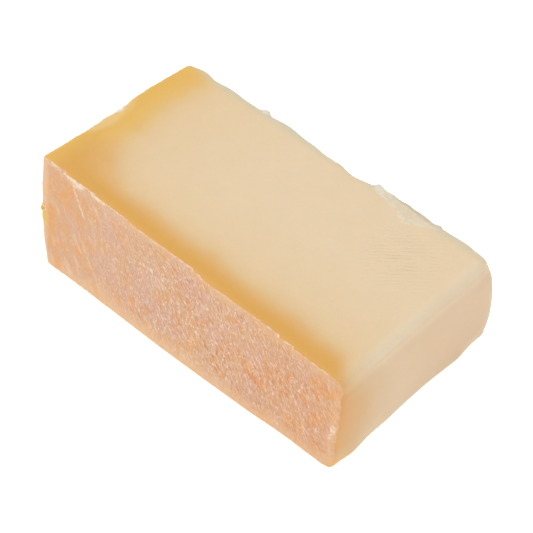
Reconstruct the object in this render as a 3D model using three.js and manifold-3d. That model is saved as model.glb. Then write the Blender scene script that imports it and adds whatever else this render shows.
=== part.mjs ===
// A hand-cut chunk of gruyere from the edge of a wheel: rind on its long front and on its heel end, and smooth
// paste on the top, back, base and cut end. One solid, in millimetres. X runs along the chunk from the heel end
// to the cut end, Y from the rind to the back cut, Z up. The origin is the middle of the base.
import * as THREE from "three";
import { ImprovedNoise } from "three/addons/math/ImprovedNoise.js";
import { mergeVertices } from "three/addons/utils/BufferGeometryUtils.js";
import Module from "manifold-3d";

// Driving dimensions of the block before its corners are shifted.
const LENGTH = 110;
const WIDTH = 60;
const HEIGHT = 35;

// How far each hand-cut corner lies from that of the true box, and how deep it is worn blunt. Along, across and
// up pick the corner: 0 is the heel end, the rind side or the base, and 1 is the cut end, the back or the top.
const CORNERS = [
  { along: 0, across: 0, up: 0, shift: [-0.4, -3.3, 0], blunt: 0 },
  { along: 0, across: 0, up: 1, shift: [-1.7, 3, 2.7], blunt: 0 },
  { along: 0, across: 1, up: 0, shift: [-0.3, 1.5, 0], blunt: 0.8 },
  { along: 0, across: 1, up: 1, shift: [-1.9, -0.3, 0.3], blunt: 0 },
  { along: 1, across: 0, up: 0, shift: [-1.3, -1.6, 0], blunt: 0.5 },
  { along: 1, across: 0, up: 1, shift: [0.6, -0.1, 0], blunt: 0 },
  { along: 1, across: 1, up: 0, shift: [-0.2, 2.8, 0], blunt: 1.6 },
  { along: 1, across: 1, up: 1, shift: [0.2, -2.1, -1.5], blunt: 0.5 },
];
const BLUNT_REACH = 9;

// Radii of the four upright edges, and of the edges round the top and the base on each side.
const UPRIGHT_RADII = { heelRind: 2, heelBack: 2.2, endRind: 1.5, endBack: 3.4 };
const TOP_RADII = { heel: 1.2, end: 2.6, rind: 0.5, back: 1.8 };
const BASE_RADII = { heel: 1.6, end: 1.4, rind: 1.4, back: 1.6 };

// The base is made this far under the board, and one flat cut then leaves it a crisp foot.
const SINK = 0.6;

// How far the sides bow out (+) or in (-) at their middle, and the power that the bow fades out with inside the
// block: the higher it is, the closer the bow stays to its side.
const RIND_FOOT_BOW = { depth: 0.45, fade: 2 };
const HEEL_BOW = { depth: 1.8, fade: 4 };
const END_FOOT_BOW = { depth: -1.2, fade: 6 };
const END_BELLY = { depth: 2.1, fade: 6, backFade: 3 };

// Bites (+, into the block) and bulges (-) of the top edges: their place along X or along Y, how far they reach
// each way and how deep they are. They fade out down the side and inwards over the top.
const BACK_EDGE_WEAR = [
  { at: -51, reach: 4, depth: -0.9 },
  { at: -40, reach: 6, depth: -0.5 },
  { at: -17, reach: 8, depth: -0.6 },
  { at: -2, reach: 7, depth: 0.6 },
  { at: 8.5, reach: 8, depth: 1.4 },
];
const HEEL_EDGE_WEAR = [
  { at: 14, reach: 15, depth: -0.5 },
  { at: -8, reach: 9, depth: 0.4 },
];
const WEAR_DOWN = 9;
const WEAR_INWARDS = 10;

// Relief: the size of the lumps, how far they stand out or sink in, and which part of the noise they come from.
const RIND_DENTS = { size: 13, depth: 0.3, seed: 3.1 };
const RIND_GRAIN = { size: 3.6, depth: 0.22, seed: 11.7 };
const PASTE_WAVES = { size: 24, depth: 0.35, seed: 7.3 };
const EDGE_CRUMBLE = { size: 3.1, depth: 0.25, seed: 19.9 };
const LIP_TEAR = { size: 3.4, depth: 0.5, seed: 5.2 };
const CRUMBLE_REACH = 2.2;
const RIND_SHARE_POWER = 4;

// The torn lip of the back edge, where the paste broke before the knife was through: its ends along X, the dip
// of the top over it, and the flake of paste that hangs over the edge there.
const LIP = { from: 14.4, to: 37.2, fade: 3, inset: 6, dip: 1 };
const FLAKE = { inset: 2.6, overhang: 0.3, thickness: 3.2, tilt: 0.2, taper: 1.2, steps: 20 };

// Crumbs stuck to the edges, with half their sizes along X, Y and Z.
const CRUMBS = [
  { at: [-25.9, 29, 34.3], size: [1.5, 0.9, 0.7] },
  { at: [1.4, 27.7, 33.4], size: [0.9, 0.8, 0.6] },
  { at: [-56, 3.5, 35.4], size: [1.1, 1.9, 0.8] },
  { at: [-57.1, -29, 18.8], size: [1.2, 1.2, 1.5] },
];
const CRUMB_DETAIL = 1;

// Grid faces along, across and up the block, and the number and length of the shorter ones next to each edge.
const AXES = ["along", "across", "up"];
const SEGMENTS = [46, 24, 14];
const EDGE_FACES = 2;
const EDGE_FACE = 1.2;

const noise = new ImprovedNoise();
const wasm = await Module();
wasm.setup();

// Smooth relief of about its depth either way.
function lumps(place, { size, depth, seed }) {
  return 2 * depth * noise.noise(place.x / size + seed, place.y / size - seed, place.z / size + seed);
}

// An arc over a share of the block: 0 at 0 and at 1, and 1 half way.
function arc(share) {
  return Math.sin(Math.PI * share);
}

// 1 at the middle of a bump, 0 from its reach on, and smooth between.
function bump(distance, reach) {
  return 1 - THREE.MathUtils.smoothstep(Math.abs(distance), 0, reach);
}

// The summed depth of the bites and bulges at one place along an edge.
function wearAt(wear, along) {
  return wear.reduce((sum, { at, reach, depth }) => sum + depth * bump(along - at, reach), 0);
}

// The place of a grid line along one axis: short faces next to both ends and even ones between.
function gridLine(index, count, length) {
  const fromEnd = Math.min(index, count - index);
  const side = index * 2 < count ? -1 : 1;
  if (fromEnd <= EDGE_FACES) return side * (length / 2 - fromEnd * EDGE_FACE);
  const inner = length - 2 * EDGE_FACES * EDGE_FACE;
  return -inner / 2 + (inner * (index - EDGE_FACES)) / (count - 2 * EDGE_FACES);
}

// A radius that is given for each side, blended by how far the outline faces that side.
function radiusFacing(radii, facing) {
  const lengthwise = facing.x < 0 ? radii.heel : radii.end;
  const crosswise = facing.y < 0 ? radii.rind : radii.back;
  return lengthwise * facing.x ** 2 + crosswise * facing.y ** 2;
}

// Rounds the upright edges: the place of (x, y) in the rounded outline, and the way the outline faces there.
function roundUprights(x, y) {
  const radius = UPRIGHT_RADII[(x < 0 ? "heel" : "end") + (y < 0 ? "Rind" : "Back")];
  const core = new THREE.Vector2(
    THREE.MathUtils.clamp(x, radius - LENGTH / 2, LENGTH / 2 - radius),
    THREE.MathUtils.clamp(y, radius - WIDTH / 2, WIDTH / 2 - radius),
  );
  const out = new THREE.Vector2(x, y).sub(core);
  if (out.lengthSq() > 0) {
    const reach = Math.max(Math.abs(out.x), Math.abs(out.y));
    const facing = out.normalize();
    return { outline: core.addScaledVector(facing, reach), facing };
  }
  const endIsNearer = LENGTH / 2 - Math.abs(x) < WIDTH / 2 - Math.abs(y);
  const facing = endIsNearer ? new THREE.Vector2(Math.sign(x), 0) : new THREE.Vector2(0, y < 0 ? -1 : 1);
  return { outline: core, facing };
}

// Rounds every edge of the plain box: the rounded place, and the way that the surface faces there.
function roundOff(x, y, z) {
  const { outline, facing } = roundUprights(x, y);
  const place = new THREE.Vector3(outline.x, outline.y, z);
  const radius = radiusFacing(z > 0 ? TOP_RADII : BASE_RADII, facing);
  const inset = Math.min(LENGTH / 2 - Math.abs(x), WIDTH / 2 - Math.abs(y));
  const across = radius - inset;
  const up = radius - (HEIGHT / 2 - Math.abs(z));
  if (across <= 0) return { place, outward: new THREE.Vector3(0, 0, Math.sign(z)) };
  if (up <= 0) return { place, outward: new THREE.Vector3(facing.x, facing.y, 0) };
  const outward = new THREE.Vector3(facing.x * across, facing.y * across, Math.sign(z) * up);
  const pull = Math.max(across, up) / outward.length() - 1;
  return { place: place.addScaledVector(outward, pull), outward: outward.normalize() };
}

// The place as shares of the block: 0 to 1 along, across and up.
function sharesOf(place) {
  return { along: place.x / LENGTH + 0.5, across: place.y / WIDTH + 0.5, up: place.z / HEIGHT + 0.5 };
}

// Moves the place with the shifted corners, each by its share, and in from the blunt ones.
function shiftByCorners(place, shares) {
  for (const corner of CORNERS) {
    const [along, across, up] = AXES.map((axis) => (corner[axis] ? shares[axis] : 1 - shares[axis]));
    const distance = Math.hypot(LENGTH * (1 - along), WIDTH * (1 - across), HEIGHT * (1 - up));
    const wear = corner.blunt * bump(distance, BLUNT_REACH);
    place.addScaledVector(new THREE.Vector3(...corner.shift), along * across * up);
    place.x -= Math.sign(place.x) * wear;
    place.y -= Math.sign(place.y) * wear;
  }
}

// Bows the sides, bites the top edges and dips the top over the torn lip.
function bowAndWear(place, { along, across, up }) {
  place.y -= RIND_FOOT_BOW.depth * arc(along) * (1 - across) ** RIND_FOOT_BOW.fade * (1 - up);
  place.x -= HEEL_BOW.depth * arc(up) * (1 - along) ** HEEL_BOW.fade;
  place.x += END_FOOT_BOW.depth * arc(across) * along ** END_FOOT_BOW.fade * (1 - up);
  place.y += END_BELLY.depth * arc(up) * along ** END_BELLY.fade * across ** END_BELLY.backFade;

  const fromTop = HEIGHT * (1 - up);
  const fromBack = WIDTH * (1 - across);
  const fromHeel = LENGTH * along;
  const topShare = bump(fromTop, WEAR_DOWN);
  place.y -= wearAt(BACK_EDGE_WEAR, place.x) * topShare * bump(fromBack, WEAR_INWARDS);
  place.x += wearAt(HEEL_EDGE_WEAR, place.y) * topShare * bump(fromHeel, WEAR_INWARDS);

  const insideLip = Math.min(place.x - LIP.from, LIP.to - place.x);
  const lipShare = THREE.MathUtils.smoothstep(insideLip, 0, LIP.fade);
  place.z -= LIP.dip * lipShare * topShare * bump(fromBack, LIP.inset);
}

// How far the surface stands out of its plain form: dents and grain on the rind, slow waves on the cut paste,
// and crumbling along the edge between the two.
function reliefAt(place, outward, { along, across, up }) {
  const rindShare = Math.max(-outward.y, -outward.x, 0) ** RIND_SHARE_POWER;
  const rind = lumps(place, RIND_DENTS) + lumps(place, RIND_GRAIN);
  const paste = lumps(place, PASTE_WAVES);
  const toCutEdge = Math.max(Math.min(LENGTH * along, WIDTH * across), HEIGHT * (1 - up));
  const crumble = lumps(place, EDGE_CRUMBLE) * bump(toCutEdge, CRUMBLE_REACH);
  return THREE.MathUtils.lerp(paste, rind, rindShare) + crumble;
}

// The plain box's grid, rounded, shifted, bowed, worn and given its relief.
function blockGeometry() {
  const geometry = new THREE.BoxGeometry(1, 1, 1, ...SEGMENTS);
  const positions = geometry.attributes.position;
  const sizes = [LENGTH, WIDTH, HEIGHT];
  const share = new THREE.Vector3();
  for (let i = 0; i < positions.count; i++) {
    share.fromBufferAttribute(positions, i);
    const lines = share.toArray().map((value, axis) => Math.round((value + 0.5) * SEGMENTS[axis]));
    const [x, y, z] = lines.map((line, axis) => gridLine(line, SEGMENTS[axis], sizes[axis]));
    const { place, outward } = roundOff(x, y, z);
    const shares = sharesOf(place);
    const relief = reliefAt(place, outward, shares);
    shiftByCorners(place, shares);
    bowAndWear(place, shares);
    place.addScaledVector(outward, relief);
    positions.setXYZ(i, place.x, place.y, place.z + HEIGHT / 2 - SINK * (1 - shares.up));
  }
  return geometry;
}

// The top back edge of the shifted box at one place along X.
function backEdgeAt(x) {
  const place = new THREE.Vector3(x, WIDTH / 2, HEIGHT / 2);
  shiftByCorners(place, sharesOf(place));
  return place.setZ(place.z + HEIGHT / 2);
}

// The flake of the torn lip: a plate with a ragged outline, tilted down over the back edge.
function flakeGeometry() {
  const edge = backEdgeAt((LIP.from + LIP.to) / 2);
  const outer = [];
  const inner = [];
  for (let i = 0; i <= FLAKE.steps; i++) {
    const x = THREE.MathUtils.lerp(LIP.from, LIP.to, i / FLAKE.steps);
    const fromEnd = Math.min(x - LIP.from, LIP.to - x);
    const narrowing = FLAKE.overhang * bump(fromEnd, FLAKE.taper);
    const tear = lumps(backEdgeAt(x), LIP_TEAR);
    outer.push(new THREE.Vector2(x, FLAKE.overhang - narrowing + tear / 2));
    inner.push(new THREE.Vector2(x, tear - FLAKE.inset));
  }
  const outline = new THREE.Shape([...inner, ...outer.reverse()]);
  const geometry = new THREE.ExtrudeGeometry(outline, { depth: FLAKE.thickness, bevelEnabled: false });
  geometry.translate(0, 0, -FLAKE.thickness);
  geometry.rotateX(-FLAKE.tilt);
  return geometry.translate(0, edge.y, edge.z - LIP.dip);
}

// A stuck crumb: a small uneven lump.
function crumbGeometry({ at, size }) {
  const geometry = new THREE.IcosahedronGeometry(1, CRUMB_DETAIL);
  return geometry.scale(...size).translate(...at);
}

// What is cut away so that the chunk stands flat: everything under the board's surface.
function boardGeometry() {
  return new THREE.BoxGeometry(2 * LENGTH, 2 * WIDTH, HEIGHT).translate(0, 0, -HEIGHT / 2);
}

// A closed geometry as a solid that can be joined and cut.
function toSolid(geometry) {
  geometry.deleteAttribute("normal");
  geometry.deleteAttribute("uv");
  const merged = mergeVertices(geometry);
  const vertProperties = merged.attributes.position.array;
  const triVerts = Uint32Array.from(merged.index.array);
  return new wasm.Manifold(new wasm.Mesh({ numProp: 3, vertProperties, triVerts }));
}

// A solid as a geometry again.
function toGeometry(solid) {
  const { vertProperties, triVerts } = solid.getMesh();
  const geometry = new THREE.BufferGeometry();
  geometry.setAttribute("position", new THREE.BufferAttribute(vertProperties, 3));
  geometry.setIndex(new THREE.BufferAttribute(triVerts, 1));
  geometry.computeVertexNormals();
  return geometry;
}

// The whole chunk, centred over the middle of its base.
function chunkGeometry() {
  const loose = [flakeGeometry(), ...CRUMBS.map(crumbGeometry)];
  const joined = loose.reduce((solid, geometry) => solid.add(toSolid(geometry)), toSolid(blockGeometry()));
  const geometry = toGeometry(joined.subtract(toSolid(boardGeometry())));
  geometry.computeBoundingBox();
  const middle = geometry.boundingBox.getCenter(new THREE.Vector3());
  return geometry.translate(-middle.x, -middle.y, -geometry.boundingBox.min.z);
}

const paste = new THREE.MeshStandardMaterial({ color: 0xe8cfa6, roughness: 0.6, metalness: 0 });
const chunk = new THREE.Mesh(chunkGeometry(), paste);
chunk.name = "gruyere_chunk";

const group = new THREE.Group();
group.add(chunk);

export default group;
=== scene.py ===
"""The looks of the gruyere chunk: a block of cut paste with a rind on its long front and on its heel end.

The block is modelled at its real size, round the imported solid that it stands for. Lengths are in metres, and
one that is written as 2.5 * MM is 2.5 millimetres. X runs from the heel end to the cut end, Y from the rind to
the back cut, and Z up. The numbers that the skin carries for its material are in millimetres.
"""

from __future__ import annotations

import logging
import math
from collections.abc import Callable, Iterable
from dataclasses import dataclass, field
from enum import Enum
from functools import reduce
from typing import TypeAlias

import bmesh
import bpy
from mathutils import Matrix, Vector
from mathutils.bvhtree import BVHTree


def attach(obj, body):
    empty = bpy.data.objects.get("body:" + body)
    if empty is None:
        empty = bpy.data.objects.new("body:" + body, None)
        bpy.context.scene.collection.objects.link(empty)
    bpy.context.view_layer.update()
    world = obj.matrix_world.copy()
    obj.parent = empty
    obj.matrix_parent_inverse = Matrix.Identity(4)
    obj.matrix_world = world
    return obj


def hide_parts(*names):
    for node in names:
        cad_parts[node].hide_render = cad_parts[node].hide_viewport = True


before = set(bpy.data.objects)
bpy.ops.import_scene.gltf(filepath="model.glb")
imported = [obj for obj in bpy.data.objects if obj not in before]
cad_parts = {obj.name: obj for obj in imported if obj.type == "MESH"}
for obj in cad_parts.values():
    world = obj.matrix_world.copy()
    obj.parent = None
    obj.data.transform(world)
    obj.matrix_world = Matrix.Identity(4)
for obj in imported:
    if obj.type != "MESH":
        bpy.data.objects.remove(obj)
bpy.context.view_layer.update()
LOG = logging.getLogger("gruyere")

MM = 0.001
TOUCH = 0.01 * MM  # points that are nearer to each other than this are at one place

Point: TypeAlias = tuple[float, float, float]
Rgba: TypeAlias = tuple[float, float, float, float]
Socket: TypeAlias = bpy.types.NodeSocket
Number: TypeAlias = "Value | float"
Colour: TypeAlias = "Socket | Rgba"


def metres(place: Point) -> Vector:
    """A place, a shift or a size that is written in millimetres, in metres."""
    return Vector([part * MM for part in place])


def smooth(value: float, low: float, high: float) -> float:
    """A smooth step from 0 at low to 1 at high, or down to it where high is the lower."""
    share = min(max((value - low) / (high - low), 0.0), 1.0)
    return share * share * (3 - 2 * share)


# ---------------------------------------- modelling


@dataclass(frozen=True)
class Lumps:
    """Relief: the lumps' size and height and their pattern's start in millimetres, its stretch and its lean."""

    size: float
    height: float
    start: float
    detail: int = 2
    stretch: Point = (1.0, 1.0, 1.0)
    lean: float = 0.0


def select_only(piece: bpy.types.Object) -> None:
    """Makes one object the only selected one and the active one."""
    bpy.ops.object.select_all(action="DESELECT")
    piece.select_set(True)
    bpy.context.view_layer.objects.active = piece


class Workpiece:
    """A mesh on the bench, shaped in edit mode and finished by modifiers."""

    def __init__(self, piece: bpy.types.Object) -> None:
        """Takes a mesh object to work on."""
        self.piece = piece

    @classmethod
    def box(cls, name: str, size: Point, centre: Point) -> Workpiece:
        """Adds a box of a size round a centre, as a start."""
        bpy.ops.mesh.primitive_cube_add(size=1, location=centre, scale=size)
        return cls._settled(name)

    @classmethod
    def lump(cls, name: str, radii: Point, centre: Point) -> Workpiece:
        """Adds a round lump of a radius along each axis round a centre, as a start."""
        bpy.ops.mesh.primitive_ico_sphere_add(subdivisions=3, radius=1, location=centre, scale=radii)
        return cls._settled(name)

    @classmethod
    def _settled(cls, name: str) -> Workpiece:
        """Names the new primitive and moves its place and size into its mesh."""
        piece = bpy.context.object
        piece.name = name
        select_only(piece)
        bpy.ops.object.transform_apply(location=True, rotation=True, scale=True)
        return cls(piece)

    @property
    def mesh(self) -> bpy.types.Mesh:
        """The mesh under work."""
        return self.piece.data

    def places(self) -> list[Vector]:
        """The place of each point."""
        return [vertex.co.copy() for vertex in self.mesh.vertices]

    def nearest(self, place: Vector) -> Vector:
        """The place of the point that is nearest to a place."""
        return min((vertex.co for vertex in self.mesh.vertices), key=lambda co: (co - place).length_squared).copy()

    def pick(self, wanted: Callable[[bmesh.types.BMVert], bool]) -> None:
        """Enters edit mode with only the wanted points, and the edges and faces between them, selected.

        Args:
            wanted: says of a point whether it is picked.
        """
        select_only(self.piece)
        bpy.ops.object.mode_set(mode="EDIT")
        bpy.ops.mesh.select_mode(type="VERT")
        bpy.ops.mesh.select_all(action="DESELECT")
        cage = bmesh.from_edit_mesh(self.mesh)
        for vertex in cage.verts:
            vertex.select = wanted(vertex)
        cage.select_flush_mode()
        bmesh.update_edit_mesh(self.mesh)

    def leave(self) -> None:
        """Leaves edit mode."""
        bpy.ops.object.mode_set(mode="OBJECT")

    def move_corner(self, place: Vector, shift: Vector) -> None:
        """Moves one point.

        Args:
            place: the place that it is nearest to.
            shift: how far it moves.
        """
        corner = self.nearest(place)
        self.pick(lambda vertex: (vertex.co - corner).length < TOUCH)
        bpy.ops.transform.translate(value=shift)
        self.leave()

    def pull(self, wanted: Callable[[Vector], bool], shift: Vector, reach: float) -> None:
        """Pulls some points, and less and less of the skin round them out to the reach.

        Args:
            wanted: says of a place whether its point is held.
            shift: how far the held points move.
            reach: how far the pull carries.
        """
        self.pick(lambda vertex: wanted(vertex.co))
        bpy.ops.transform.translate(
            value=shift,
            use_proportional_edit=True,
            proportional_edit_falloff="SMOOTH",
            proportional_size=reach,
        )
        self.leave()

    def pull_at(self, place: Vector, shift: Vector, reach: float) -> None:
        """Pulls the point nearest to a place, and less and less of the skin round it out to the reach."""
        middle = self.nearest(place)
        self.pull(lambda co: (co - middle).length < TOUCH, shift, reach)

    def modify(self, kind: str, **settings: object) -> None:
        """Adds a modifier and applies it.

        Args:
            kind: the modifier's type.
            settings: its values.
        """
        select_only(self.piece)
        modifier = self.piece.modifiers.new(kind.lower(), kind)
        for name, value in settings.items():
            setattr(modifier, name, value)
        bpy.ops.object.modifier_apply(modifier=modifier.name)

    def shift_group(self, group: str, distance: float, axis: str) -> None:
        """Moves the points of a vertex group along X, Y or Z, those of full weight by the distance."""
        self.modify("DISPLACE", direction=axis, strength=distance, mid_level=0.0, vertex_group=group)

    def emboss(self, lumps: Lumps, group: str) -> None:
        """Raises and sinks the skin by cloudy lumps.

        Args:
            lumps: the relief.
            group: the vertex group that says where it shows.
        """
        clouds = bpy.data.textures.new(group, "CLOUDS")
        clouds.noise_scale = lumps.size * MM
        clouds.noise_depth = lumps.detail
        guide = bpy.data.objects.new(group, None)
        guide.location = metres((lumps.start, -lumps.start, 2 * lumps.start))
        guide.scale = lumps.stretch
        guide.rotation_euler = (0.0, math.radians(lumps.lean), 0.0)
        bpy.context.collection.objects.link(guide)
        bpy.context.view_layer.update()
        self.modify(
            "DISPLACE",
            texture=clouds,
            texture_coords="OBJECT",
            texture_coords_object=guide,
            direction="NORMAL",
            strength=2 * lumps.height * MM,
            mid_level=0.5,
            vertex_group=group,
        )
        bpy.data.objects.remove(guide)
        bpy.data.textures.remove(clouds)

    def join(self, others: list[Workpiece]) -> None:
        """Joins other pieces into this one, which uses them up."""
        select_only(self.piece)
        for other in others:
            other.piece.select_set(True)
        bpy.ops.object.join()

    def weigh(self, name: str, weights: Iterable[float]) -> str:
        """Paints a vertex group.

        Args:
            name: the group's name.
            weights: each point's weight, in the points' order.

        Returns:
            The group's name.
        """
        group = self.piece.vertex_groups.new(name=name)
        for index, weight in enumerate(weights):
            if weight > 0.0:
                group.add([index], min(weight, 1.0), "REPLACE")
        return group.name

    def mark(self, mark: Mark, values: Iterable[float]) -> None:
        """Stores one number on each point, in the points' order, for the material."""
        layer = self.mesh.attributes.get(mark.value) or self.mesh.attributes.new(mark.value, "FLOAT", "POINT")
        layer.data.foreach_set("value", list(values))

    def marks(self, mark: Mark) -> list[float]:
        """The numbers that the points carry, in the points' order."""
        values = [0.0] * len(self.mesh.vertices)
        self.mesh.attributes[mark.value].data.foreach_get("value", values)
        return values


# ---------------------------------------- shading


def srgb(*levels: int) -> Rgba:
    """Turns red, green and blue levels of 0 to 255, as a screen shows them, into a shader's linear colour."""
    parts = [level / 255 for level in levels]
    return (*(part / 12.92 if part <= 0.04045 else ((part + 0.055) / 1.055) ** 2.4 for part in parts), 1.0)


@dataclass(frozen=True)
class Value:
    """A number that varies over the surface, so that shader maths reads as plain expressions."""

    graph: Graph
    socket: Socket

    def _math(self, operation: str, first: Number, second: Number) -> Value:
        """Adds one Math node."""
        return self.graph.number("ShaderNodeMath", {"operation": operation}, {0: first, 1: second})

    def __add__(self, other: Number) -> Value:
        """The sum."""
        return self._math("ADD", self, other)

    __radd__ = __add__

    def __sub__(self, other: Number) -> Value:
        """The difference."""
        return self._math("SUBTRACT", self, other)

    def __rsub__(self, other: Number) -> Value:
        """The difference, with this value taken away."""
        return self._math("SUBTRACT", other, self)

    def __mul__(self, other: Number) -> Value:
        """The product."""
        return self._math("MULTIPLY", self, other)

    __rmul__ = __mul__

    def __truediv__(self, other: Number) -> Value:
        """The quotient."""
        return self._math("DIVIDE", self, other)

    def __abs__(self) -> Value:
        """The size without its sign."""
        return self._math("ABSOLUTE", self, 0.0)

    def most(self, other: Number) -> Value:
        """The larger of the two."""
        return self._math("MAXIMUM", self, other)

    def blend_least(self, other: Number, width: float) -> Value:
        """The smaller of the two, rounded off where they are less than the width apart."""
        inputs = {0: self, 1: other, 2: width}
        return self.graph.number("ShaderNodeMath", {"operation": "SMOOTH_MIN"}, inputs)

    def wave(self) -> Value:
        """The sine."""
        return self._math("SINE", self, 0.0)

    def rise(self, low: float, high: float) -> Value:
        """A smooth step.

        Args:
            low: where it starts.
            high: where it is full. One that is under low makes the step a fall.

        Returns:
            0 at low and 1 at high.
        """
        ends = (low, high, 0.0, 1.0) if low < high else (high, low, 1.0, 0.0)
        inputs = dict(zip(("From Min", "From Max", "To Min", "To Max"), ends))
        settings = {"interpolation_type": "SMOOTHSTEP"}
        return self.graph.number("ShaderNodeMapRange", settings, {"Value": self, **inputs})

    def band(self, middle: float, reach: float) -> Value:
        """1 at the middle, 0 from its reach on, and smooth between."""
        return abs(self - middle).rise(reach, 0.0)


@dataclass(frozen=True)
class Spot:
    """One patch: its middle and its reach along each axis in millimetres, its strength and its lean in degrees."""

    at: Point
    reach: Point
    strength: float = 1.0
    lean: float = 0.0


class Graph:
    """The node tree of one material, with the object's coordinates in millimetres."""

    def __init__(self, name: str) -> None:
        """Starts an empty material."""
        self.material = bpy.data.materials.new(name)
        self.material.use_nodes = True
        self.tree = self.material.node_tree
        self.tree.nodes.clear()
        place = self.node("ShaderNodeTexCoord").outputs["Object"]
        to_millimetres = {0: place, "Scale": 1 / MM}
        self.place = self.node("ShaderNodeVectorMath", {"operation": "SCALE"}, to_millimetres).outputs[0]

    def node(self, kind: str, settings: dict | None = None, inputs: dict | None = None) -> bpy.types.Node:
        """Adds any node.

        Args:
            kind: the node's type.
            settings: its own values, which are set first. A ramp's stops are (place, colour) pairs.
            inputs: numbers, colours, links or Values for its sockets, by their name or number.

        Returns:
            The node.
        """
        node = self.tree.nodes.new(kind)
        for name, value in (settings or {}).items():
            if name == "stops":
                self._set_stops(node.color_ramp, value)
            else:
                setattr(node, name, value)
        for key, value in (inputs or {}).items():
            source = value.socket if isinstance(value, Value) else value
            if isinstance(source, Socket):
                self.tree.links.new(source, node.inputs[key])
            else:
                node.inputs[key].default_value = source
        return node

    @staticmethod
    def _set_stops(ramp: bpy.types.ColorRamp, stops: list[tuple[float, Rgba]]) -> None:
        """Gives a ramp its colours."""
        while len(ramp.elements) < len(stops):
            ramp.elements.new(1.0)
        for element, (place, colour) in zip(ramp.elements, stops, strict=True):
            element.position = place
            element.color = colour

    def number(self, kind: str, settings: dict | None = None, inputs: dict | None = None) -> Value:
        """Adds a node and takes its first output as a number."""
        return Value(self, self.node(kind, settings, inputs).outputs[0])

    def mark(self, mark: Mark) -> Value:
        """A number that the skin carries on its points."""
        return Value(self, self.node("ShaderNodeAttribute", {"attribute_name": mark.value}).outputs["Fac"])

    def along(self, axis: str) -> Value:
        """The place along one axis, in millimetres."""
        return Value(self, self.node("ShaderNodeSeparateXYZ", None, {0: self.place}).outputs[axis])

    def clouds(
        self, size: float, start: float, detail: float = 2, squeeze: Point = (1, 1, 1),
        turn: Point = (0, 0, 0), swirl: float = 0, harshness: float = 0.5,
    ) -> Value:
        """Soft noise round 0.5.

        Args:
            size: about how many millimetres a patch is across.
            start: where the pattern starts.
            detail: how many finer layers it has.
            squeeze: how much finer it is along each of its axes.
            turn: its turn about each axis, in degrees.
            swirl: how far it is warped.
            harshness: how strong the finer layers are.

        Returns:
            The noise.
        """
        angles = tuple(map(math.radians, turn))
        turned = self.node("ShaderNodeMapping", {"vector_type": "TEXTURE"}, {"Vector": self.place, "Rotation": angles})
        moved = {"Vector": turned.outputs[0], "Location": (start, -start, 2 * start), "Scale": squeeze}
        inputs = {
            "Vector": self.node("ShaderNodeMapping", {"vector_type": "POINT"}, moved).outputs[0],
            "Scale": 1 / size,
            "Detail": detail,
            "Roughness": harshness,
            "Distortion": swirl,
        }
        return self.number("ShaderNodeTexNoise", None, inputs)

    def spot(self, spots: tuple[Spot, ...], wobble: Value) -> Value:
        """Patches of known place.

        Args:
            spots: where they are and how far they reach.
            wobble: what makes their outlines ragged, round 0.

        Returns:
            1 inside them and 0 outside, with a soft edge.
        """
        patches = []
        for spot in spots:
            turn = (0.0, math.radians(spot.lean), 0.0)
            inputs = {"Vector": self.place, "Location": spot.at, "Rotation": turn, "Scale": spot.reach}
            away = self.node("ShaderNodeMapping", {"vector_type": "TEXTURE"}, inputs).outputs[0]
            far = self.node("ShaderNodeVectorMath", {"operation": "LENGTH"}, {0: away}).outputs["Value"]
            patches.append((Value(self, far) + wobble).rise(1.15, 0.6) * spot.strength)
        return reduce(Value.most, patches)

    def mix(self, share: Number, first: Colour, second: Colour) -> Socket:
        """Mixes two colours, where a share of 0 gives the first and 1 the second."""
        return self.node("ShaderNodeMix", {"data_type": "RGBA"}, {0: share, 6: first, 7: second}).outputs[2]

    def coat(self, colour: Colour, *coats: tuple[Number, Colour]) -> Colour:
        """Lays colours over a first one.

        Args:
            colour: the first one.
            coats: the share and the colour of each, in their order.

        Returns:
            The new colour.
        """
        for share, upper in coats:
            colour = self.mix(share, colour, upper)
        return colour

    def shade(self, colour: Colour, amount: Value) -> Socket:
        """Makes a colour lighter or darker, where an amount of 1 keeps it."""
        return self.node("ShaderNodeVectorMath", {"operation": "SCALE"}, {0: colour, "Scale": amount}).outputs[0]

    def ramp(self, value: Value, stops: tuple[tuple[float, Rgba], ...]) -> Socket:
        """Colours by a number.

        Args:
            value: the number.
            stops: numbers and their colours, in rising order.

        Returns:
            The colour.
        """
        low, high = stops[0][0], stops[-1][0]
        shares = [((place - low) / (high - low), colour) for place, colour in stops]
        return self.node("ShaderNodeValToRGB", {"stops": shares}, {0: (value - low) / (high - low)}).outputs[0]

    def bump(self, height: Value, rise: float) -> Socket:
        """Turns a height of about 0 to 1 into a normal, where 1 is as many metres high as the rise."""
        inputs = {"Height": height, "Distance": rise, "Strength": 1.0}
        return self.node("ShaderNodeBump", None, inputs).outputs[0]

    def finish(self, surface: Socket) -> bpy.types.Material:
        """Makes a shader the material's surface and gives back the material."""
        self.node("ShaderNodeOutputMaterial", None, {"Surface": surface})
        return self.material


# ---------------------------------------- finishes


class Mark(Enum):
    """The numbers that the skin's points carry, in millimetres."""

    RIND_DEPTH = "rind_depth"
    HEEL_DEPTH = "heel_depth"
    CUT_EDGE = "cut_edge"
    RELIEF = "relief"
    END_RIM = "end_rim"
    BACK_RIM = "back_rim"
    LIP = "lip"


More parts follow.
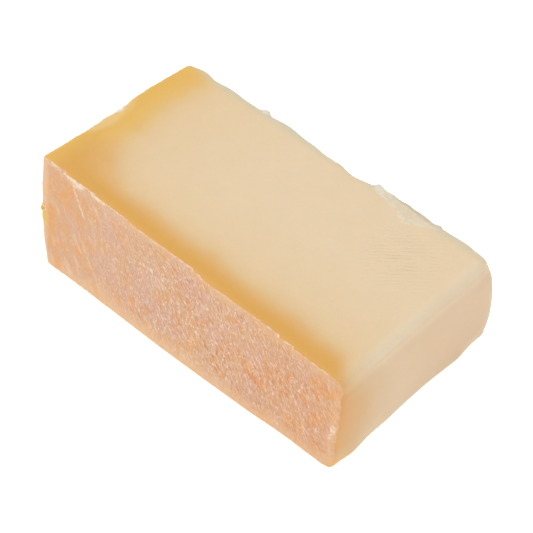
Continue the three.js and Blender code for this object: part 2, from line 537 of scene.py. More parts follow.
@dataclass(frozen=True)
class Body:
    """What a finish is like under its colour: how matt, and how strongly and how deep light spreads in it."""

    roughness: float
    scatter: float
    scatter_radius: Point
    scatter_depth: float

    def shader(self, graph: Graph, colour: Socket, roughness: Number, normal: Socket) -> Socket:
        """Builds the finish.

        Args:
            graph: the material that it is part of.
            colour: its colour.
            roughness: how matt it is, place by place.
            normal: its fine relief.

        Returns:
            The shader.
        """
        inputs = {
            "Base Color": colour,
            "Roughness": roughness,
            "IOR": 1.4,
            "Subsurface Weight": self.scatter,
            "Subsurface Radius": self.scatter_radius,
            "Subsurface Scale": self.scatter_depth,
            "Normal": normal,
        }
        return graph.node("ShaderNodeBsdfPrincipled", None, inputs).outputs[0]


@dataclass(frozen=True)
class Paste:
    """The cut paste: amber under the rind, cream inside, chalky along its dry rims and torn at the lip. Painted light
    in it: a darker copy of the paste on the cut end as painted shade, a painted sheen over the bloom on the end's top
    edge, painted bounce light from the table along the end's foot, and a painted shadow at the torn lip's outer edge.
    """

    on_top: tuple[tuple[float, Rgba], ...] = (
        (0, srgb(213, 161, 84)),
        (2.5, srgb(213, 161, 79)),
        (4.2, srgb(214, 165, 94)),
        (6, srgb(216, 174, 116)),
        (8, srgb(217, 186, 138)),
        (10, srgb(220, 191, 149)),
        (13, srgb(221, 195, 156)),
        (19, srgb(221, 197, 160)),
        (30, srgb(222, 199, 166)),
    )
    # The cut end's ramp: amber at the rind to cream, darker overall than the top's as painted shade of the upright
    # face.
    on_end_shaded: tuple[tuple[float, Rgba], ...] = (
        (0, srgb(205, 146, 82)),
        (3.3, srgb(205, 154, 93)),
        (6, srgb(204, 160, 106)),
        (9.2, srgb(204, 167, 119)),
        (12.3, srgb(205, 172, 129)),
        (16, srgb(206, 176, 138)),
        (24, srgb(210, 182, 147)),
        (34, srgb(208, 179, 144)),
    )
    honey: Rgba = srgb(226, 185, 93)
    pale: Rgba = srgb(225, 194, 136)
    # Pale band along the cut end's top edge: a painted sheen where the rounded edge catches the light, over some real
    # bloom.
    bloom_and_sheen: Rgba = srgb(223, 206, 178)
    dusk: Rgba = srgb(206, 195, 165)
    rim: Rgba = srgb(201, 195, 181)
    torn: Rgba = srgb(218, 203, 176)
    # Darker line along the torn lip's outer edge: painted shadow of the hanging flake.
    torn_edge_shadow: Rgba = srgb(196, 180, 154)
    chalk: Rgba = srgb(222, 217, 203)
    pale_heel: tuple[Spot, ...] = (
        Spot((-55.5, -2.5, 36), (4.5, 9.5, 9), 0.7),
        Spot((-57.5, -22, 36), (2.7, 8, 9), 0.6),
    )
    crumbs: tuple[Spot, ...] = (
        Spot((-55, 1.1, 36.3), (1.5, 1.5, 1.6), 0.9),
        Spot((-24.6, 29.6, 35), (2.2, 1.6, 1.6), 0.8),
        Spot((2.9, 28.2, 34.6), (1.4, 1.3, 1.4), 0.8),
    )
    body: Body = Body(0.5, 0.3, (1, 0.55, 0.25), 1.5 * MM)
    ripple_length: float = 1.9
    ripple_height: float = 0.34

    def shader(self, graph: Graph) -> Socket:
        """Builds the paste.

        Args:
            graph: the material that it is part of.

        Returns:
            The shader.
        """
        curd = graph.clouds(5.5, 8.4, detail=5, harshness=0.6)
        streaks = graph.clouds(1.5, 1.7, squeeze=(1, 0.22, 1), turn=(0, 0, -38))
        normal = graph.bump(0.6 * curd + 0.15 * streaks + self._ripples(graph), 0.25 * MM)
        roughness = self.body.roughness + 0.25 * (curd - 0.5)
        return self.body.shader(graph, self._colour(graph, curd, streaks), roughness, normal)

    def _colour(self, graph: Graph, curd: Value, streaks: Value) -> Socket:
        """Colours the paste.

        Args:
            graph: the material.
            curd: its soft patches.
            streaks: the marks of the cut.

        Returns:
            The colour.
        """
        along, up = graph.along("X"), graph.along("Z")
        wander = 2.5 * (graph.clouds(9, 3.1) - 0.5)
        front = graph.mark(Mark.RIND_DEPTH)
        heel = graph.mark(Mark.HEEL_DEPTH)
        heel_wander = 5 * (graph.clouds(13, 5.7) - 0.5)
        depth = front.blend_least(0.58 * (heel + heel_wander) + 1.6, 18) + wander + 5 * along.rise(49, 56)
        depth = depth - 2 * along.band(-42, 15) * graph.along("Y").band(-15, 10)
        golden = (heel + heel_wander).rise(16, 4) * front.rise(9, 22) * 0.6
        end_depth = front * (1 + 0.6 * up.rise(22, 31)) + 5 * up.rise(10, 2)
        colour = graph.coat(
            graph.ramp(depth, self.on_top),
            (golden.most(heel.rise(8, 1) * 0.5), self.honey),
            (graph.spot(self.pale_heel, 0.8 * (curd - 0.5)), self.pale),
            # The cut end takes its darker ramp: painted shade.
            (along.rise(53.5, 56) * up.rise(34.5, 29), graph.ramp(end_depth + wander, self.on_end_shaded)),
        )
        colour = self._rims(graph, colour)
        fine = graph.clouds(0.9, 12, detail=3)
        return graph.shade(colour, 0.955 + 0.04 * curd + 0.012 * streaks + 0.04 * fine)

    def _rims(self, graph: Graph, colour: Socket) -> Socket:
        """Lays the dry rims, the torn lip and painted light over the paste: a painted sheen along the end's top edge,
        painted bounce light along the end's foot and a painted shadow at the lip's outer edge.

        Args:
            graph: the material.
            colour: the paste's colour.

        Returns:
            The new colour.
        """
        along, across, up = graph.along("X"), graph.along("Y"), graph.along("Z")
        ragged = graph.clouds(2.2, 61, detail=3) - 0.5
        patchy = graph.clouds(9, 66).rise(0.3, 0.6)
        end, back = graph.mark(Mark.END_RIM), graph.mark(Mark.BACK_RIM) + 0.6 * ragged
        # Bloom and sheen band along the end's top edge, with a faint halo onto the top: painted highlight over some
        # real bloom.
        bloom_and_sheen = (end + 1 * ragged).rise(2.7, 0.6) * (0.6 + 0.3 * patchy) * across.rise(-28, -15)
        sheen_halo = end.rise(6.5, 1.5) * up.rise(33, 31) * across.rise(-26, -10) * 0.25
        dry = up.rise(28.5, 32.5) * (0.3 + 0.7 * along.rise(-54, -40))
        low = (up + 0.8 * ragged).rise(3.4, 0.6) * across.rise(-26, -10) * 0.6
        side = across.rise(28, 31.5) * up.rise(24, 10) * 0.6
        tear = graph.mark(Mark.LIP) + 1.2 * ragged
        lip = tear.rise(-0.2, 0.4)
        outer = across + 0.09 * along + 0.6 * along.rise(27.3, 39.3)
        torn_end = (along + 3 * ragged).rise(24, 17)
        crumbs = graph.clouds(0.9, 71, detail=3, squeeze=(0.6, 1, 1), turn=(0, 0, 20), harshness=0.6)
        crumbs = lip * (0.35 + 0.65 * tear.rise(2, 0.6)) * (crumbs + 0.14 * torn_end).rise(0.46, 0.62)
        return graph.coat(
            colour,
            (bloom_and_sheen.most(sheen_halo), self.bloom_and_sheen),
            (dry * back.rise(4.8, 0.6) * 0.9, self.dusk),
            (dry * (0.95 - 0.45 * along.rise(30, 50)) * back.rise(2, 0.5), self.rim),
            # Paler along the end's foot and the low part of its back edge: painted bounce light from the table.
            (along.rise(49, 54) * low.most(side), self.rim),
            (lip * (0.5 + 0.3 * patchy), self.torn),
            # Darker line at the lip's outer edge: painted shadow of the flake.
            (lip * outer.rise(30.4, 31.1) * 0.85, self.torn_edge_shadow),
            ((crumbs * 0.75).most(graph.spot(self.crumbs, ragged)), self.chalk),
        )

    def _ripples(self, graph: Graph) -> Value:
        """The fine ripples that the wire left near the back of the cut end."""
        along, across = graph.along("X"), graph.along("Y")
        place = 1.1 * across - along + 2.2 * graph.clouds(5, 81, detail=3)
        area = along.band(40, 17) * across.band(11, 16) * graph.clouds(4, 84).rise(0.3, 0.55)
        return self.ripple_height * (place * (2 * math.pi / self.ripple_length)).wave() * area


@dataclass(frozen=True)
class Rind:
    """The rind: matt peach and mauve, with orange pits, pale grains and a cream fringe where it was cut, and painted
    light: shade in its hollows, highlights and glints on its raised grains and bounce light along its foot.
    """

    peach: Rgba = srgb(207, 164, 127)
    mauve: Rgba = srgb(205, 164, 139)
    tan: Rgba = srgb(216, 158, 99)
    # The rind's orange, also laid in the hollows of its relief as painted shade.
    pit: Rgba = srgb(201, 119, 62)
    # The rind's pale strands, also laid on the tops of its lumps as painted highlights.
    grain: Rgba = srgb(228, 203, 180)
    # Real white flecks, and painted glints on the highest grains.
    fleck_and_glint: Rgba = srgb(240, 226, 210)
    fringe: Rgba = srgb(236, 216, 190)
    # Paler foot of the rind: painted bounce light from the table.
    foot: Rgba = srgb(218, 181, 142)
    strip: Rgba = srgb(222, 184, 142)
    scab: Rgba = srgb(222, 184, 108)
    orange: tuple[Spot, ...] = (
        Spot((-51.2, -30.5, 15), (1.5, 9, 3.4)),
        Spot((-50.2, -29.6, 20.7), (1.6, 9, 2.6), 0.8, -25),
        Spot((-49.5, -28, 28), (2, 9, 5), 0.6, -30),
        Spot((-48.9, -32.2, 3.6), (1.8, 9, 3), 0.8),
        Spot((-45.5, -27, 32.8), (5, 9, 1.5), 0.6, 20),
        Spot((-38.1, -27.5, 30.5), (0.7, 9, 4.6), 0.9, -30),
        Spot((-40.6, -28.6, 23.3), (0.5, 9, 0.8), 0.9),
        Spot((-47.6, -29.2, 22.3), (0.5, 9, 0.8), 0.8),
    )
    white: tuple[Spot, ...] = (
        Spot((53.6, -30.5, 15.4), (0.9, 9, 3.4), 0.6, 12),
        Spot((-41.8, -27, 35.6), (3.8, 9, 2.2), 0.65),
        Spot((-50.2, -27, 36.3), (4, 9, 0.7), 0.3),
        Spot((-40.9, -28, 29.7), (0.6, 9, 5), 0.45, -30),
        Spot((-12, -29, 24.4), (0.5, 9, 1), 0.8, -15),
        Spot((-14.9, -29, 24.2), (0.4, 9, 0.9), 0.6, -15),
    )
    yellow: tuple[Spot, ...] = (Spot((-55, -30.4, 17.4), (2.2, 4, 4.2)),)
    body: Body = Body(0.72, 0.12, (1, 0.5, 0.25), 0.7 * MM)

    def shader(self, graph: Graph) -> Socket:
        """Builds the rind.

        Args:
            graph: the material that it is part of.

        Returns:
            The shader.
        """
        along, across, up = graph.along("X"), graph.along("Y"), graph.along("Z")
        rough = along.rise(-46, -8) * along.rise(62, 36)
        rough = rough.most(0.6 * across.rise(-27, -16)) * graph.mark(Mark.CUT_EDGE).rise(0, 3.5)
        rough = (0.3 + 0.7 * rough) * (0.4 + 0.6 * up.rise(1, 7))
        fibres = graph.clouds(0.85, 41, squeeze=(1.9, 1.9, 0.42), turn=(0, -30, 0), swirl=0.5, harshness=0.6)
        grain = graph.clouds(0.7, 44, squeeze=(1.1, 1.1, 0.75), turn=(0, -30, 0), swirl=0.4, harshness=0.65)
        normal = graph.bump((0.6 * fibres + 0.4 * grain) * rough, 0.4 * MM)
        return self.body.shader(graph, self._colour(graph, fibres, grain, rough), self.body.roughness, normal)

    def _colour(self, graph: Graph, fibres: Value, grain: Value, rough: Value) -> Socket:
        """Colours the rind, with painted shade in its hollows, painted highlights and glints on its raised grains and
        painted bounce light at its foot.

        Args:
            graph: the material.
            fibres: its short upright strands.
            grain: its finest lumps.
            rough: how rough it is, 0 to 1.

        Returns:
            The colour.
        """
        along, across, up = graph.along("X"), graph.along("Y"), graph.along("Z")
        edge, relief = graph.mark(Mark.CUT_EDGE), graph.mark(Mark.RELIEF)
        patches = graph.clouds(10, 21, detail=3)
        ragged = graph.clouds(1.6, 58, detail=3, squeeze=(1, 1, 0.6)) - 0.5
        spots = graph.clouds(4, 33, detail=3, squeeze=(1.2, 1.2, 0.7))
        streaks = graph.clouds(2.4, 47, detail=2, squeeze=(1.2, 1.2, 0.25), turn=(0, -28, 0))
        coarse = graph.clouds(14, 36).rise(0.35, 0.6) * (0.3 + 0.7 * along.rise(-20, 15))
        crumbly = graph.clouds(0.8, 53, detail=2, squeeze=(1, 1, 0.6)).rise(0.4, 0.58)
        middle, left = along.rise(-50, -32) * along.rise(48, 8), along.rise(-22, -40)
        foot = (up + 5 * (patches - 0.5)).rise(7, 2)
        head = (edge + 3 * (spots - 0.5)).rise(3.8, 0.8) * along.rise(-45, -33)
        corner = along.rise(-52, -54.2) * across.rise(-22, -28)
        thick = along.rise(-54, -47) * along.rise(-22, -34)
        width = 0.35 * graph.clouds(3.5, 55) + 0.8 * thick * graph.clouds(2.2, 57).rise(0.4, 0.6)
        fringe = (edge - width + 1.1 * (graph.clouds(0.9, 52, detail=3) - 0.5)).rise(0.25, -0.25)
        return graph.coat(
            self.peach,
            (patches.rise(0.38, 0.6) * (0.35 + 0.65 * middle), self.mauve),
            (spots.rise(0.48, 0.66) * (1 - 0.35 * middle) * 0.85, self.tan),
            # Paler towards the foot: painted bounce light from the table.
            (foot * 0.7, self.foot),
            (along.rise(12, 40) * 0.16, self.pit),
            (head * 0.4, self.strip),
            (left * streaks.rise(0.52, 0.68) * 0.65, self.tan),
            (left * streaks.rise(0.44, 0.34) * 0.28, self.grain),
            (graph.spot(self.orange, 1.2 * ragged) * 0.8, self.tan),
            (corner * 0.75, self.strip),
            # Orange in the hollows of the relief and of the bump pattern: the rind's colour, deepened as painted
            # shade.
            (relief.rise(0, -0.16) * (0.1 + 0.15 * coarse), self.pit),
            (fibres.rise(0.46, 0.34) * (0.22 + 0.7 * coarse) * rough, self.pit),
            (grain.rise(0.43, 0.31) * (0.15 + 0.4 * coarse) * rough, self.pit),
            # Pale on the raised tops of the relief and of the bump pattern: painted highlights.
            (relief.rise(0.02, 0.18) * 0.25 * rough, self.grain),
            (fibres.rise(0.54, 0.66) * 0.7 * rough, self.grain),
            # Near-white on the highest grains: painted glints.
            (grain.rise(0.59, 0.69) * 0.65 * rough, self.fleck_and_glint),
            (graph.spot(self.white, 1.8 * ragged) * (0.35 + 0.65 * crumbly), self.fleck_and_glint),
            (graph.spot(self.yellow, ragged), self.scab),
            (fringe * (0.45 + 0.4 * crumbly) * (1 - 0.75 * along.rise(50, 53)), self.fringe),
        )


@dataclass(frozen=True)
class Cheese:
    """The chunk's one material: paste on the cuts and rind on the crust, with a ragged line between them."""

    paste: Paste = Paste()
    rind: Rind = Rind()

    def material(self) -> bpy.types.Material:
        """Builds the material."""
        graph = Graph("cheese")
        edge = graph.mark(Mark.CUT_EDGE) + 0.8 * (graph.clouds(1.2, 50, detail=3) - 0.5)
        by_end = graph.along("X").rise(49, 54)
        edge = edge * (0.1 + 0.9 * graph.along("Z").rise(0.5, 12)) * (1 - 0.5 * by_end)
        shaders = {1: self.paste.shader(graph), 2: self.rind.shader(graph)}
        return graph.finish(graph.node("ShaderNodeMixShader", None, {0: edge.rise(-0.12, 0.12), **shaders}).outputs[0])


# ---------------------------------------- the chunk


@dataclass(frozen=True)
class Corner:
    """A hand-cut corner: which it is, and in millimetres its shift from the true box's and how blunt it is worn."""

    along: int
    across: int
    up: int
    shift: Point
    blunt: float = 0.0


@dataclass(frozen=True)
class Edge:
    """An edge: the sides that it lies between, as -1, 0 or 1 along X, Y and Z, and its radius in millimetres."""

    sides: tuple[int, int, int]
    radius: float


@dataclass(frozen=True)
class Wear:
    """A bite or a bulge of an edge, in millimetres: where it is, its pull and how far that carries."""

    at: Point
    shift: Point
    reach: float


@dataclass(frozen=True)
class Crumb:
    """A crumb that is stuck to an edge: its middle and its radii in millimetres."""

    at: Point
    radii: Point


@dataclass(frozen=True)
class Lip:
    """The torn lip of the back edge: its outline in plan, its dip and overhang, and how far down it reaches."""

    outline: tuple[tuple[float, float], ...] = (
        (14.4, 34.0), (14.6, 28.4), (16.0, 26.3), (18.9, 25.3), (21.8, 24.4), (24.9, 23.5), (29.9, 21.4),
        (32.5, 23.0), (34.5, 23.9), (36.9, 24.7), (38.2, 26.3), (38.4, 34.0),
    )
    dip: float = 0.9 * MM
    overhang: float = 1.5 * MM
    foot: float = 29.5 * MM

    def depth(self, place: Vector) -> float:
        """How far inside the outline and over the foot a place is, in millimetres; less than 0 outside.

        Args:
            place: a place on the skin.

        Returns:
            The distance to the outline, with its sign.
        """
        x, y = place.x / MM, place.y / MM
        inside = False
        nearest = math.inf
        for (ax, ay), (bx, by) in zip(self.outline, self.outline[1:] + self.outline[:1]):
            share = ((x - ax) * (bx - ax) + (y - ay) * (by - ay)) / ((bx - ax) ** 2 + (by - ay) ** 2)
            share = min(max(share, 0.0), 1.0)
            nearest = min(nearest, math.hypot(x - ax - share * (bx - ax), y - ay - share * (by - ay)))
            if (ay > y) != (by > y) and x < ax + (y - ay) * (bx - ax) / (by - ay):
                inside = not inside
        return min(nearest if inside else -nearest, (place.z - self.foot) / MM)


def distance_to_path(place: Vector, path: tuple[Point, ...]) -> float:
    """How far a place is from a line of straight stretches.

    Args:
        place: the place, in metres.
        path: the line's points, in millimetres.

    Returns:
        The distance, in millimetres.
    """
    shortest = math.inf
    ends = [metres(point) for point in path]
    for base, end in zip(ends, ends[1:]):
        stretch = end - base
        share = min(max((place - base).dot(stretch) / stretch.length_squared, 0.0), 1.0)
        shortest = min(shortest, (place - base - share * stretch).length)
    return shortest / MM


@dataclass
class Chunk:
    """The chunk of gruyere, as one closed skin."""

    name: str = "cheese_chunk"
    length: float = 110 * MM
    width: float = 60 * MM
    height: float = 35 * MM
    sink: float = 0.6 * MM
    middle: Point = (1.336, 0.254, 0)
    corners: tuple[Corner, ...] = (
        Corner(-1, -1, -1, (-0.8, -3.2, 0)),
        Corner(-1, -1, 1, (-3.1, 3.0, 2.2)),
        Corner(-1, 1, -1, (-0.4, 1.5, 0), blunt=0.8),
        Corner(-1, 1, 1, (-2.7, -0.3, 0.3)),
        Corner(1, -1, -1, (-1.2, -2.1, 0), blunt=0.85),
        Corner(1, -1, 1, (-0.3, -0.1, 0)),
        Corner(1, 1, -1, (0.2, 2.7, 0), blunt=0.7),
        Corner(1, 1, 1, (0.2, -2.1, -1.5), blunt=0.5),
    )
    blunt_reach: float = 9 * MM
    edges: tuple[Edge, ...] = (
        Edge((-1, -1, 0), 2.0),
        Edge((-1, 1, 0), 2.2),
        Edge((1, -1, 0), 1.2),
        Edge((1, 1, 0), 3.2),
        Edge((-1, 0, 1), 2.5),
        Edge((1, 0, 1), 3.2),
        Edge((0, -1, 1), 0.5),
        Edge((0, 1, 1), 1.8),
        Edge((-1, 0, -1), 1.6),
        Edge((1, 0, -1), 2.2),
        Edge((0, -1, -1), 1.4),
        Edge((0, 1, -1), 1.6),
    )
    wear: tuple[Wear, ...] = (
        Wear((-51, 30, 35), (0, 0.9, 0), 5),
        Wear((-40, 30, 35), (0, 0.5, 0), 7),
        Wear((-17, 30, 35), (0, 0.6, 0), 8),
        Wear((-2, 29, 35), (0, -0.6, 0), 7),
        Wear((8.5, 29, 35), (0, -1.2, 0), 8),
        Wear((-56, 14, 35), (-0.4, 0, 0), 14),
        Wear((-56, -9, 35), (0.5, 0, 0), 8),
        Wear((0, -32, 0), (0, -0.45, 0), 50),
        Wear((54.5, 0, 0), (-0.9, 0, 0), 30),
        Wear((54.5, -30, 13), (-0.35, 0, 0), 13),
        Wear((-55, -32, 10), (-0.1, -0.5, 0), 15),
        Wear((-56, -29, 25), (-0.15, -0.2, 0), 13),
        Wear((50.5, -32, 0), (0, -0.5, 0), 5),
        Wear((-56, -18, 35), (0, 0, -0.4), 14),
        Wear((-56, 0.5, 35), (0.6, 0, 0), 7.5),
        Wear((54, 25, 0), (-0.9, 0, 0), 8),
        Wear((54.5, -17, 0), (-0.4, 0, 0), 9),
        Wear((51, 27, 33), (0, -0.4, 0), 5),
        Wear((37, -31.5, 0), (0, 0.35, 0), 15),
    )
    heel_bow: float = 0.9 * MM
    end_belly: float = 2.0 * MM
    bow_reach: float = 21 * MM
    crumbs: tuple[Crumb, ...] = (
        Crumb((-25.9, 29.0, 34.3), (1.5, 0.9, 0.7)),
        Crumb((1.2, 27.6, 33.4), (0.8, 0.7, 0.6)),
        Crumb((-56.2, 0.9, 35.6), (1.0, 1.1, 0.7)),
        Crumb((-56.0, 5.6, 35.2), (0.8, 1.1, 0.6)),
        Crumb((-55.1, -30.3, 20.0), (0.8, 0.8, 0.7)),
        Crumb((-54.8, -30.3, 16.6), (0.7, 0.7, 2.2)),
    )
    end_rim: tuple[Point, ...] = (
        (53.9, -29.0, 34.2), (53.8, -12.0, 33.8), (53.8, 5.0, 33.4), (53.9, 18.0, 33.0), (53.5, 26.0, 32.4),
    )
    back_rim: tuple[Point, ...] = ((-54.0, 30.0, 35.0), (0.0, 29.0, 34.5), (52.0, 28.2, 33.5))
    lip: Lip = Lip()
    voxel: float = 0.72 * MM
    rind_dents: Lumps = Lumps(13, 0.3, 3.1)
    rind_lumps: Lumps = Lumps(2.6, 0.12, 11.7, stretch=(1.0, 1.0, 1.8), lean=-28.0)
    rind_grain: Lumps = Lumps(1.2, 0.13, 5.4, detail=1, stretch=(1.0, 1.0, 1.9), lean=-28.0)
    paste_waves: Lumps = Lumps(24, 0.3, 7.3)
    crumble: Lumps = Lumps(1.6, 0.18, 19.9)
    heel_crumble: Lumps = Lumps(1.2, 0.35, 23.3)
    tear: Lumps = Lumps(1.9, 0.3, 2.4)
    finish: Cheese = Cheese()
    work: Workpiece = field(init=False)

    def build(self) -> bpy.types.Object:
        """Models the chunk and dresses it.

        Returns:
            The finished piece.
        """
        self._cut_block()
        self._round_edges()
        self._stick_crumbs()
        self._make_skin()
        self._bow_and_wear()
        self._settle_in_frame()
        self._mark_skin()
        self._refine_rind()
        self._tear_lip()
        self._roughen()
        self._flatten_foot()
        self._dress()
        return self.work.piece

    def _cut_block(self) -> None:
        """Starts with the true box and moves each corner to where the knife left it."""
        size = (self.length, self.width, self.height + self.sink)
        centre = Vector((0, 0, (self.height - self.sink) / 2))
        self.work = Workpiece.box(self.name, size, tuple(centre))
        for corner in self.corners:
            half = Vector((corner.along * size[0], corner.across * size[1], corner.up * size[2])) / 2
            self.work.move_corner(centre + half, metres(corner.shift))

    def _round_edges(self) -> None:
        """Rounds every edge by its own radius."""
        largest = max(edge.radius for edge in self.edges)
        mesh = self.work.mesh
        weights = mesh.attributes.new("bevel_weight_edge", "FLOAT", "EDGE")
        middle = Vector((0, 0, self.height / 2))
        radii = {edge.sides: edge.radius for edge in self.edges}
        for edge in mesh.edges:
            ends = [mesh.vertices[index].co - middle for index in edge.vertices]
            sides = tuple(
                int(math.copysign(1, first)) if first * second > 0 else 0 for first, second in zip(*ends)
            )
            weights.data[edge.index].value = radii[sides] / largest
        self.work.modify("BEVEL", width=largest * MM, segments=6, limit_method="WEIGHT")

    def _stick_crumbs(self) -> None:
        """Sets the crumbs on the edges."""
        self.work.join([Workpiece.lump("crumb", metres(crumb.radii), metres(crumb.at)) for crumb in self.crumbs])

    def _make_skin(self) -> None:
        """Makes one even skin of the block and its crumbs."""
        self.work.modify("REMESH", mode="VOXEL", voxel_size=self.voxel)
        select_only(self.work.piece)
        bpy.ops.object.shade_smooth()

    def _bow_and_wear(self) -> None:
        """Bows the sides, bites the edges and wears the corners blunt."""
        middle, slice_ = self.height / 2, 0.7 * self.voxel
        self.work.pull(
            lambda co: co.x < -0.47 * self.length and abs(co.z - middle) < slice_,
            Vector((-self.heel_bow, 0, 0)),
            self.bow_reach,
        )
        self.work.pull(
            lambda co: co.x > 0.44 * self.length and co.y > 0.46 * self.width and abs(co.z - middle) < slice_,
            Vector((0, self.end_belly, 0)),
            self.bow_reach,
        )
        for wear in self.wear:
            self.work.pull_at(metres(wear.at), metres(wear.shift), wear.reach * MM)
        for corner in self.corners:
            if corner.blunt:
                place = Vector((corner.along * self.length / 2, corner.across * self.width / 2, 0))
                place.z = self.height if corner.up > 0 else -self.sink
                inwards = Vector((-corner.along, -corner.across, 0)) * corner.blunt * MM
                self.work.pull_at(place + metres(corner.shift), inwards, self.blunt_reach)

    def _settle_in_frame(self) -> None:
        """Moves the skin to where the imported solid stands."""
        self.work.pick(lambda vertex: True)
        bpy.ops.transform.translate(value=metres(self.middle))
        self.work.leave()

    def _mark_skin(self) -> None:
        """Stores where each point lies from the rind, the cut edge, the rims and the lip."""
        faces: dict[Mark, list[tuple[int, ...]]] = {Mark.RIND_DEPTH: [], Mark.HEEL_DEPTH: [], Mark.CUT_EDGE: []}
        for face in self.work.mesh.polygons:
            sideways = math.hypot(min(face.normal.x, 0.0), min(face.normal.y, 0.0))
            crust = sideways >= 0.7 and (face.center.y < -0.4 * self.width or face.center.x < -0.42 * self.length)
            side = Mark.RIND_DEPTH if face.normal.y < face.normal.x else Mark.HEEL_DEPTH
            faces[side if crust else Mark.CUT_EDGE].append(tuple(face.vertices))
        places = self.work.places()
        depths: dict[Mark, list[float]] = {}
        for mark, skin in faces.items():
            surface = BVHTree.FromPolygons(places, skin)
            depths[mark] = [surface.find_nearest(place)[3] / MM for place in places]
        to_rind = map(min, depths[Mark.RIND_DEPTH], depths[Mark.HEEL_DEPTH])
        depths[Mark.CUT_EDGE] = [cut_far - rind_far for cut_far, rind_far in zip(depths[Mark.CUT_EDGE], to_rind)]
        shift = metres(self.middle)
        depths[Mark.END_RIM] = [distance_to_path(place - shift, self.end_rim) for place in places]
        depths[Mark.BACK_RIM] = [distance_to_path(place - shift, self.back_rim) for place in places]
        depths[Mark.LIP] = [self.lip.depth(place - shift) for place in places]
        for mark, values in depths.items():
            self.work.mark(mark, values)

    def _refine_rind(self) -> None:
        """Gives the rind, its cut edge and the lip a finer mesh for their relief."""
        edge, lip = self.work.marks(Mark.CUT_EDGE), self.work.marks(Mark.LIP)
        self.work.pick(lambda vertex: edge[vertex.index] > -1.3 or abs(lip[vertex.index]) < 1.0)
        bpy.ops.mesh.subdivide(number_cuts=1)
        self.work.leave()

    def _tear_lip(self) -> None:
        """Dips the top over the torn lip and hangs its outer side over the edge."""
        depth = self.work.marks(Mark.LIP)
        flake = self.work.weigh("flake share", map(self._flake_share, depth, self.work.places()))
        dip = self.work.weigh("dip share", (smooth(value, 0.0, 3.5) for value in depth))
        self.work.shift_group(dip, -self.lip.dip, "Z")
        self.work.shift_group(flake, self.lip.overhang, "Y")
        self.work.emboss(self.tear, flake)

    @staticmethod
    def _flake_share(depth: float, place: Vector) -> float:
        """How far a point hangs over the edge: most at the lip's left end, and less towards its foot."""
        taper = 1 - 0.6 * smooth(place.x / MM, 27, 39)
        return smooth(depth, -0.1, 0.7) * taper * smooth(place.z / MM, 28.5, 33.0)

    @staticmethod
    def _rough_share(edge: float, place: Vector) -> float:
        """How rough a point of the rind is: most in the middle, less near the cuts, the foot and both ends."""
        x, y, z = place / MM
        middle = max(smooth(x, -46, -10) * smooth(x, 62, 36), 0.6 * smooth(y, -27, -16))
        return smooth(edge, 0.2, 3.0) * (0.35 + 0.65 * middle) * (0.4 + 0.6 * smooth(z, 0, 6))

    @staticmethod
    def _jagged_share(edge: float, place: Vector) -> float:
        """How jagged a point is: most along the middle of the heel's top edge."""
        x, y, z = place / MM
        by_edge = smooth(abs(edge - 0.2), 1.8, 0.4) * smooth(x, -50, -54) * smooth(z, 30, 33)
        return by_edge * smooth(y, -24, -8) * smooth(y, 26, 8)

    def _roughen(self) -> None:
        """Embosses the rind's grain, the paste's slow waves and the crumbling along the cut edges."""
        edge = self.work.marks(Mark.CUT_EDGE)
        rind = self.work.weigh("rind share", (smooth(value, 0.2, 1.6) for value in edge))
        rough = self.work.weigh("rough share", map(self._rough_share, edge, self.work.places()))
        paste = self.work.weigh("paste share", (smooth(-value, 0.5, 4.0) for value in edge))
        left = (1 - 0.7 * smooth(place.x / MM, -38, -24) for place in self.work.places())
        border_values = (smooth(abs(value - 0.2), 1.6, 0.3) * share for value, share in zip(edge, left))
        border = self.work.weigh("border share", border_values)
        jagged = self.work.weigh("jagged share", map(self._jagged_share, edge, self.work.places()))
        self.work.emboss(self.rind_dents, rind)
        self.work.emboss(self.paste_waves, paste)
        before = [(vertex.co.copy(), vertex.normal.copy()) for vertex in self.work.mesh.vertices]
        self.work.emboss(self.rind_lumps, rough)
        self.work.emboss(self.rind_grain, rough)
        self.work.emboss(self.crumble, border)
        self.work.emboss(self.heel_crumble, jagged)
        after = self.work.places()
        self.work.mark(Mark.RELIEF, ((co - old).dot(normal) / MM for co, (old, normal) in zip(after, before)))

    def _flatten_foot(self) -> None:
        """Presses what is under the table flat, so that the chunk stands."""
        self.work.pick(lambda vertex: vertex.co.z < 0)
        bpy.ops.transform.resize(value=(1, 1, 0), center_override=(0, 0, 0))
        self.work.leave()

    def _dress(self) -> None:
        """Gives the chunk its material and its body, and hides the imported node that it stands for."""
        self.work.mesh.materials.append(self.finish.material())
        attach(self.work.piece, "root")
        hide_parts("gruyere_chunk")


# ---------------------------------------- the studio


@dataclass(frozen=True)
class Softbox:
    """One large square light that faces the chunk."""

    name: str
    place: Point
    side: float
    power: float

    def hang(self, target: Vector) -> None:
        """Hangs the light.

        Args:
            target: what it faces.
        """
        light = bpy.data.lights.new(self.name, "AREA")
        light.size = self.side
        light.energy = self.power
        lamp = bpy.data.objects.new(self.name, light)
        bpy.context.collection.objects.link(lamp)
        lamp.location = self.place
        lamp.rotation_euler = (target - Vector(self.place)).to_track_quat("-Z", "Y").to_euler()


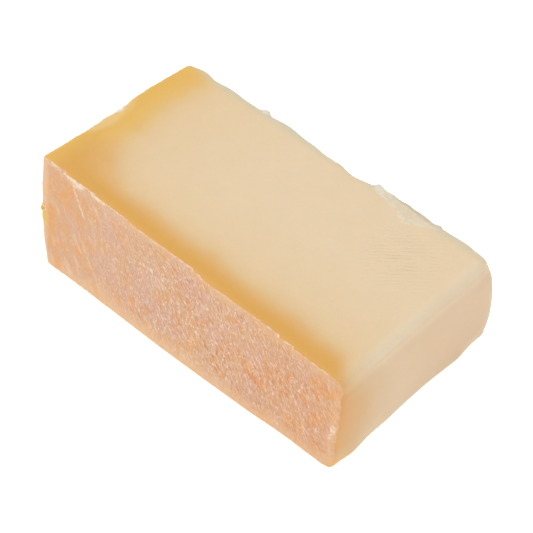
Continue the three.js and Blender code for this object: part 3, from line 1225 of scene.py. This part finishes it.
@dataclass(frozen=True)
class Studio:
    """A white light table under a bright room, and the camera at the photograph's angle."""

    floor_side: float = 6.0
    floor_white: Rgba = (0.9, 0.9, 0.9, 1.0)
    floor_glow: float = 0.5
    room_light: float = 0.67
    softboxes: tuple[Softbox, ...] = (
        Softbox("key", (-0.4, -0.35, 1.05), 0.9, 4.0),
        Softbox("overhead", (0.15, 0.0, 1.3), 1.2, 4.5),
    )
    target: Point = (5.545, -3.062, 18.333)
    azimuth: float = 43.84
    elevation: float = 47.54
    roll: float = -0.93
    distance: float = 400.4 * MM
    lens: float = 100.0

    def build(self) -> None:
        """Sets the floor, the lights and the camera."""
        self._floor()
        self._room()
        for softbox in self.softboxes:
            softbox.hang(metres(self.target))
        self._camera()

    def _floor(self) -> None:
        """Lays the white table, which glows a little, as one for cut-out pictures does."""
        bpy.ops.object.select_all(action="DESELECT")
        bpy.ops.mesh.primitive_plane_add(size=self.floor_side)
        floor = bpy.context.object
        floor.name = "table"
        graph = Graph("table")
        inputs = {
            "Base Color": self.floor_white,
            "Roughness": 0.8,
            "Emission Color": (1.0, 1.0, 1.0, 1.0),
            "Emission Strength": self.floor_glow,
        }
        surface = graph.node("ShaderNodeBsdfPrincipled", None, inputs).outputs[0]
        floor.data.materials.append(graph.finish(surface))

    def _room(self) -> None:
        """Fills the room with even white light and shows colours as they are."""
        world = bpy.data.worlds.new("room")
        world.use_nodes = True
        backdrop = world.node_tree.nodes["Background"]
        backdrop.inputs["Color"].default_value = (1.0, 1.0, 1.0, 1.0)
        backdrop.inputs["Strength"].default_value = self.room_light
        bpy.context.scene.world = world
        bpy.context.scene.view_settings.view_transform = "Standard"

    def _camera(self) -> None:
        """Places the camera at the photograph's angle."""
        turn, rise = math.radians(self.azimuth), math.radians(self.elevation)
        back = Vector((math.sin(turn) * math.cos(rise), -math.cos(turn) * math.cos(rise), math.sin(rise)))
        data = bpy.data.cameras.new("camera")
        data.lens = self.lens
        data.sensor_width = 36.0
        camera = bpy.data.objects.new("camera", data)
        bpy.context.collection.objects.link(camera)
        camera.location = metres(self.target) + self.distance * back
        level = (-back).to_track_quat("-Z", "Y").to_matrix()
        camera.rotation_euler = (level @ Matrix.Rotation(math.radians(self.roll), 3, "Z")).to_euler()
        bpy.context.scene.camera = camera


def main() -> None:
    """Builds the chunk and the studio."""
    logging.basicConfig(level=logging.INFO, format="%(message)s")
    piece = Chunk().build()
    LOG.info("%s: %d points, %d faces", piece.name, len(piece.data.vertices), len(piece.data.polygons))
    studio = Studio()
    studio.build()
    LOG.info("studio: table, %d softboxes and camera", len(studio.softboxes))


if __name__ == "__main__":
    main()
